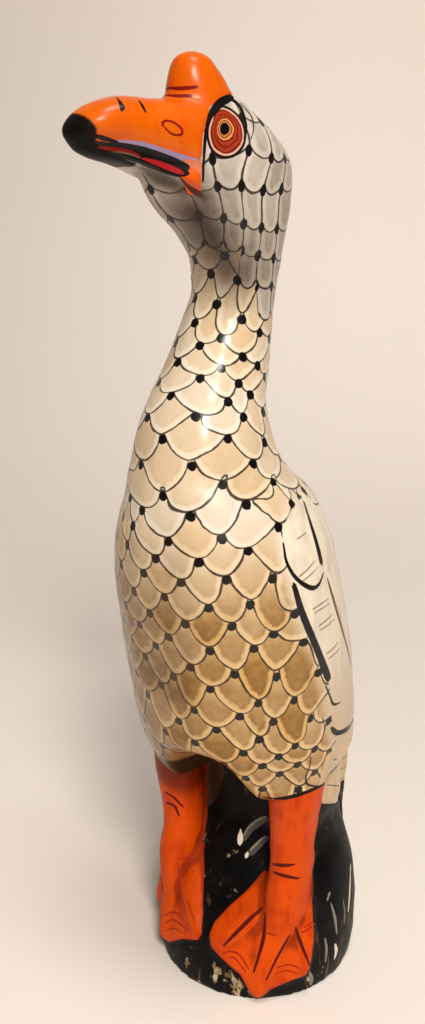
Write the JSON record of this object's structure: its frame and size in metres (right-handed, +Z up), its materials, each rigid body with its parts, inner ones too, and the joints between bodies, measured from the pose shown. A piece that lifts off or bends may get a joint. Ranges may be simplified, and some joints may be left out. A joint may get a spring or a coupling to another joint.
{
  "type": "figurine",
  "caption": "Tall painted wooden duck with a knobbed bill, its head turned aside, standing on a dark mound; it stands on its own flat underside.",
  "frame": {"origin": "middle of the mound's flat underside, which rests on the table", "axes": "+Z up; the bird faces -Y and its own left side is +X"},
  "size_m": [0.1115, 0.1593, 0.448],
  "materials": {
    "painted_wood": "hand painted in cream, tan, orange and black under a gloss lacquer"
  },
  "bodies": {
    "root": {"duck_carving": "painted_wood"}
  },
  "joints": []
}
